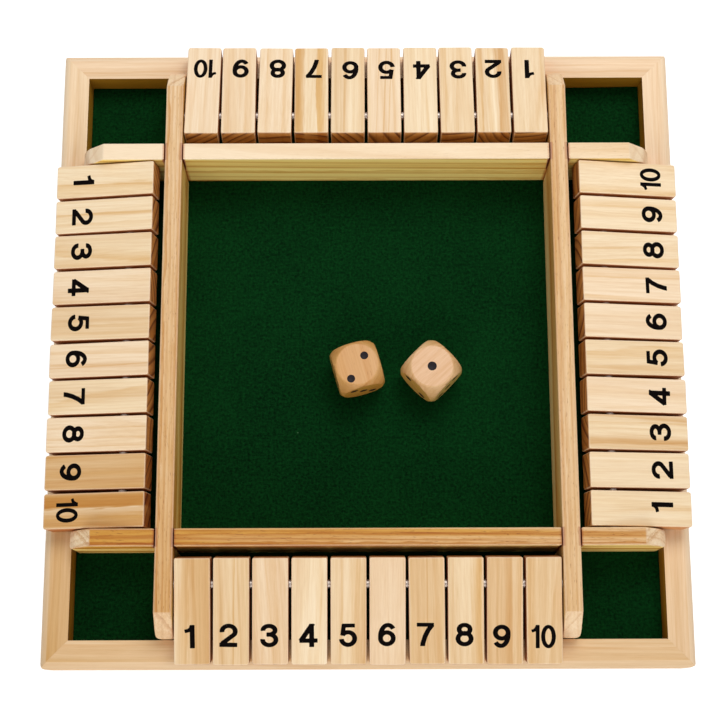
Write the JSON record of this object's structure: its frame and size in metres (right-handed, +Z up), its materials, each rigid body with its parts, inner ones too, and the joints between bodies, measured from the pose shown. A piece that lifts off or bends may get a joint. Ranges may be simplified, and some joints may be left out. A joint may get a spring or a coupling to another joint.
{
  "type": "shut the box game",
  "caption": "Wooden shut the box game: square felt-lined dice tray in a low frame, with crossed dividers and a row of number tiles on each side that flip over a steel rod.",
  "frame": {"origin": "centre of the underside of the frame, on the table", "axes": "+Z up, -Y towards the front side, +X to the right as seen from the front"},
  "size_m": [0.22, 0.22, 0.0285],
  "materials": {
    "frame_pine": "pale sanded pine, clear satin lacquer",
    "panel_wood": "plain thin plywood",
    "divider_pine": "darker quarter-sawn pine, clear satin lacquer",
    "tile_pine": "pale pine, clear satin lacquer, numbers printed in black",
    "felt": "dark green short-pile felt",
    "steel": "bright drawn steel rod",
    "die_wood": "tumbled hardwood, dark painted pips"
  },
  "bodies": {
    "tray": {"frame_front": "frame_pine", "frame_right": "frame_pine", "frame_back": "frame_pine", "frame_left": "frame_pine", "base_panel": "panel_wood", "felt_lining": "felt", "divider_front": "divider_pine", "divider_right": "divider_pine", "divider_back": "divider_pine", "divider_left": "divider_pine", "rod_front": "steel", "rod_right": "steel", "rod_back": "steel", "rod_left": "steel"},
    "tile_front_1": {"tile_front_1": "tile_pine"},
    "tile_front_2": {"tile_front_2": "tile_pine"},
    "tile_front_3": {"tile_front_3": "tile_pine"},
    "tile_front_4": {"tile_front_4": "tile_pine"},
    "tile_front_5": {"tile_front_5": "tile_pine"},
    "tile_front_6": {"tile_front_6": "tile_pine"},
    "tile_front_7": {"tile_front_7": "tile_pine"},
    "tile_front_8": {"tile_front_8": "tile_pine"},
    "tile_front_9": {"tile_front_9": "tile_pine"},
    "tile_front_10": {"tile_front_10": "tile_pine"},
    "tile_right_1": {"tile_right_1": "tile_pine"},
    "tile_right_2": {"tile_right_2": "tile_pine"},
    "tile_right_3": {"tile_right_3": "tile_pine"},
    "tile_right_4": {"tile_right_4": "tile_pine"},
    "tile_right_5": {"tile_right_5": "tile_pine"},
    "tile_right_6": {"tile_right_6": "tile_pine"},
    "tile_right_7": {"tile_right_7": "tile_pine"},
    "tile_right_8": {"tile_right_8": "tile_pine"},
    "tile_right_9": {"tile_right_9": "tile_pine"},
    "tile_right_10": {"tile_right_10": "tile_pine"},
    "tile_back_1": {"tile_back_1": "tile_pine"},
    "tile_back_2": {"tile_back_2": "tile_pine"},
    "tile_back_3": {"tile_back_3": "tile_pine"},
    "tile_back_4": {"tile_back_4": "tile_pine"},
    "tile_back_5": {"tile_back_5": "tile_pine"},
    "tile_back_6": {"tile_back_6": "tile_pine"},
    "tile_back_7": {"tile_back_7": "tile_pine"},
    "tile_back_8": {"tile_back_8": "tile_pine"},
    "tile_back_9": {"tile_back_9": "tile_pine"},
    "tile_back_10": {"tile_back_10": "tile_pine"},
    "tile_left_1": {"tile_left_1": "tile_pine"},
    "tile_left_2": {"tile_left_2": "tile_pine"},
    "tile_left_3": {"tile_left_3": "tile_pine"},
    "tile_left_4": {"tile_left_4": "tile_pine"},
    "tile_left_5": {"tile_left_5": "tile_pine"},
    "tile_left_6": {"tile_left_6": "tile_pine"},
    "tile_left_7": {"tile_left_7": "tile_pine"},
    "tile_left_8": {"tile_left_8": "tile_pine"},
    "tile_left_9": {"tile_left_9": "tile_pine"},
    "tile_left_10": {"tile_left_10": "tile_pine"},
    "die_a": {"die_a": "die_wood"},
    "die_b": {"die_b": "die_wood"}
  },
  "joints": [
    {"name": "die_a_lift", "type": "slide", "parent": "tray", "child": "die_a", "axis": [0, 0, 1], "range_m": [0, 0.035]},
    {"name": "die_b_lift", "type": "slide", "parent": "tray", "child": "die_b", "axis": [0, 0, 1], "range_m": [0, 0.035]},
    {"name": "tile_front_1_flip", "type": "hinge", "parent": "tray", "child": "tile_front_1", "pos_m": [-0.05805, -0.0825, 0.0231], "axis": [-1, 0, 0], "range_deg": [0, 132]},
    {"name": "tile_right_1_flip", "type": "hinge", "parent": "tray", "child": "tile_right_1", "pos_m": [0.0825, -0.05805, 0.0231], "axis": [0, -1, 0], "range_deg": [0, 132]},
    {"name": "tile_back_1_flip", "type": "hinge", "parent": "tray", "child": "tile_back_1", "pos_m": [0.05805, 0.0825, 0.0231], "axis": [1, 0, 0], "range_deg": [0, 132]},
    {"name": "tile_left_1_flip", "type": "hinge", "parent": "tray", "child": "tile_left_1", "pos_m": [-0.0825, 0.05805, 0.0231], "axis": [0, 1, 0], "range_deg": [0, 132]},
    {"name": "tile_front_10_flip", "type": "hinge", "parent": "tray", "child": "tile_front_10", "pos_m": [0.05805, -0.0825, 0.0231], "axis": [-1, 0, 0], "range_deg": [0, 146.5]},
    {"name": "tile_right_10_flip", "type": "hinge", "parent": "tray", "child": "tile_right_10", "pos_m": [0.0825, 0.05805, 0.0231], "axis": [0, -1, 0], "range_deg": [0, 146.5]},
    {"name": "tile_back_10_flip", "type": "hinge", "parent": "tray", "child": "tile_back_10", "pos_m": [-0.05805, 0.0825, 0.0231], "axis": [1, 0, 0], "range_deg": [0, 146.5]},
    {"name": "tile_left_10_flip", "type": "hinge", "parent": "tray", "child": "tile_left_10", "pos_m": [-0.0825, -0.05805, 0.0231], "axis": [0, 1, 0], "range_deg": [0, 146.5]},
    {"name": "tile_front_5_flip", "type": "hinge", "parent": "tray", "child": "tile_front_5", "pos_m": [-0.00645, -0.0825, 0.0231], "axis": [-1, 0, 0], "range_deg": [0, 146.5]},
    {"name": "tile_right_5_flip", "type": "hinge", "parent": "tray", "child": "tile_right_5", "pos_m": [0.0825, -0.00645, 0.0231], "axis": [0, -1, 0], "range_deg": [0, 146.5]},
    {"name": "tile_back_5_flip", "type": "hinge", "parent": "tray", "child": "tile_back_5", "pos_m": [0.00645, 0.0825, 0.0231], "axis": [1, 0, 0], "range_deg": [0, 146.5]},
    {"name": "tile_left_5_flip", "type": "hinge", "parent": "tray", "child": "tile_left_5", "pos_m": [-0.0825, 0.00645, 0.0231], "axis": [0, 1, 0], "range_deg": [0, 146.5]},
    {"name": "tile_front_2_flip", "type": "hinge", "parent": "tray", "child": "tile_front_2", "pos_m": [-0.04515, -0.0825, 0.0231], "axis": [-1, 0, 0], "range_deg": [0, 146.5]},
    {"name": "tile_front_3_flip", "type": "hinge", "parent": "tray", "child": "tile_front_3", "pos_m": [-0.03225, -0.0825, 0.0231], "axis": [-1, 0, 0], "range_deg": [0, 146.5]},
    {"name": "tile_front_4_flip", "type": "hinge", "parent": "tray", "child": "tile_front_4", "pos_m": [-0.01935, -0.0825, 0.0231], "axis": [-1, 0, 0], "range_deg": [0, 146.5]},
    {"name": "tile_front_6_flip", "type": "hinge", "parent": "tray", "child": "tile_front_6", "pos_m": [0.00645, -0.0825, 0.0231], "axis": [-1, 0, 0], "range_deg": [0, 146.5]},
    {"name": "tile_front_7_flip", "type": "hinge", "parent": "tray", "child": "tile_front_7", "pos_m": [0.01935, -0.0825, 0.0231], "axis": [-1, 0, 0], "range_deg": [0, 146.5]},
    {"name": "tile_front_8_flip", "type": "hinge", "parent": "tray", "child": "tile_front_8", "pos_m": [0.03225, -0.0825, 0.0231], "axis": [-1, 0, 0], "range_deg": [0, 146.5]},
    {"name": "tile_front_9_flip", "type": "hinge", "parent": "tray", "child": "tile_front_9", "pos_m": [0.04515, -0.0825, 0.0231], "axis": [-1, 0, 0], "range_deg": [0, 146.5]},
    {"name": "tile_right_2_flip", "type": "hinge", "parent": "tray", "child": "tile_right_2", "pos_m": [0.0825, -0.04515, 0.0231], "axis": [0, -1, 0], "range_deg": [0, 146.5]},
    {"name": "tile_right_3_flip", "type": "hinge", "parent": "tray", "child": "tile_right_3", "pos_m": [0.0825, -0.03225, 0.0231], "axis": [0, -1, 0], "range_deg": [0, 146.5]},
    {"name": "tile_right_4_flip", "type": "hinge", "parent": "tray", "child": "tile_right_4", "pos_m": [0.0825, -0.01935, 0.0231], "axis": [0, -1, 0], "range_deg": [0, 146.5]},
    {"name": "tile_right_6_flip", "type": "hinge", "parent": "tray", "child": "tile_right_6", "pos_m": [0.0825, 0.00645, 0.0231], "axis": [0, -1, 0], "range_deg": [0, 146.5]},
    {"name": "tile_right_7_flip", "type": "hinge", "parent": "tray", "child": "tile_right_7", "pos_m": [0.0825, 0.01935, 0.0231], "axis": [0, -1, 0], "range_deg": [0, 146.5]},
    {"name": "tile_right_8_flip", "type": "hinge", "parent": "tray", "child": "tile_right_8", "pos_m": [0.0825, 0.03225, 0.0231], "axis": [0, -1, 0], "range_deg": [0, 146.5]},
    {"name": "tile_right_9_flip", "type": "hinge", "parent": "tray", "child": "tile_right_9", "pos_m": [0.0825, 0.04515, 0.0231], "axis": [0, -1, 0], "range_deg": [0, 146.5]},
    {"name": "tile_back_2_flip", "type": "hinge", "parent": "tray", "child": "tile_back_2", "pos_m": [0.04515, 0.0825, 0.0231], "axis": [1, 0, 0], "range_deg": [0, 146.5]},
    {"name": "tile_back_3_flip", "type": "hinge", "parent": "tray", "child": "tile_back_3", "pos_m": [0.03225, 0.0825, 0.0231], "axis": [1, 0, 0], "range_deg": [0, 146.5]},
    {"name": "tile_back_4_flip", "type": "hinge", "parent": "tray", "child": "tile_back_4", "pos_m": [0.01935, 0.0825, 0.0231], "axis": [1, 0, 0], "range_deg": [0, 146.5]},
    {"name": "tile_back_6_flip", "type": "hinge", "parent": "tray", "child": "tile_back_6", "pos_m": [-0.00645, 0.0825, 0.0231], "axis": [1, 0, 0], "range_deg": [0, 146.5]},
    {"name": "tile_back_7_flip", "type": "hinge", "parent": "tray", "child": "tile_back_7", "pos_m": [-0.01935, 0.0825, 0.0231], "axis": [1, 0, 0], "range_deg": [0, 146.5]},
    {"name": "tile_back_8_flip", "type": "hinge", "parent": "tray", "child": "tile_back_8", "pos_m": [-0.03225, 0.0825, 0.0231], "axis": [1, 0, 0], "range_deg": [0, 146.5]},
    {"name": "tile_back_9_flip", "type": "hinge", "parent": "tray", "child": "tile_back_9", "pos_m": [-0.04515, 0.0825, 0.0231], "axis": [1, 0, 0], "range_deg": [0, 146.5]},
    {"name": "tile_left_2_flip", "type": "hinge", "parent": "tray", "child": "tile_left_2", "pos_m": [-0.0825, 0.04515, 0.0231], "axis": [0, 1, 0], "range_deg": [0, 146.5]},
    {"name": "tile_left_3_flip", "type": "hinge", "parent": "tray", "child": "tile_left_3", "pos_m": [-0.0825, 0.03225, 0.0231], "axis": [0, 1, 0], "range_deg": [0, 146.5]},
    {"name": "tile_left_4_flip", "type": "hinge", "parent": "tray", "child": "tile_left_4", "pos_m": [-0.0825, 0.01935, 0.0231], "axis": [0, 1, 0], "range_deg": [0, 146.5]},
    {"name": "tile_left_6_flip", "type": "hinge", "parent": "tray", "child": "tile_left_6", "pos_m": [-0.0825, -0.00645, 0.0231], "axis": [0, 1, 0], "range_deg": [0, 146.5]},
    {"name": "tile_left_7_flip", "type": "hinge", "parent": "tray", "child": "tile_left_7", "pos_m": [-0.0825, -0.01935, 0.0231], "axis": [0, 1, 0], "range_deg": [0, 146.5]},
    {"name": "tile_left_8_flip", "type": "hinge", "parent": "tray", "child": "tile_left_8", "pos_m": [-0.0825, -0.03225, 0.0231], "axis": [0, 1, 0], "range_deg": [0, 146.5]},
    {"name": "tile_left_9_flip", "type": "hinge", "parent": "tray", "child": "tile_left_9", "pos_m": [-0.0825, -0.04515, 0.0231], "axis": [0, 1, 0], "range_deg": [0, 146.5]}
  ]
}
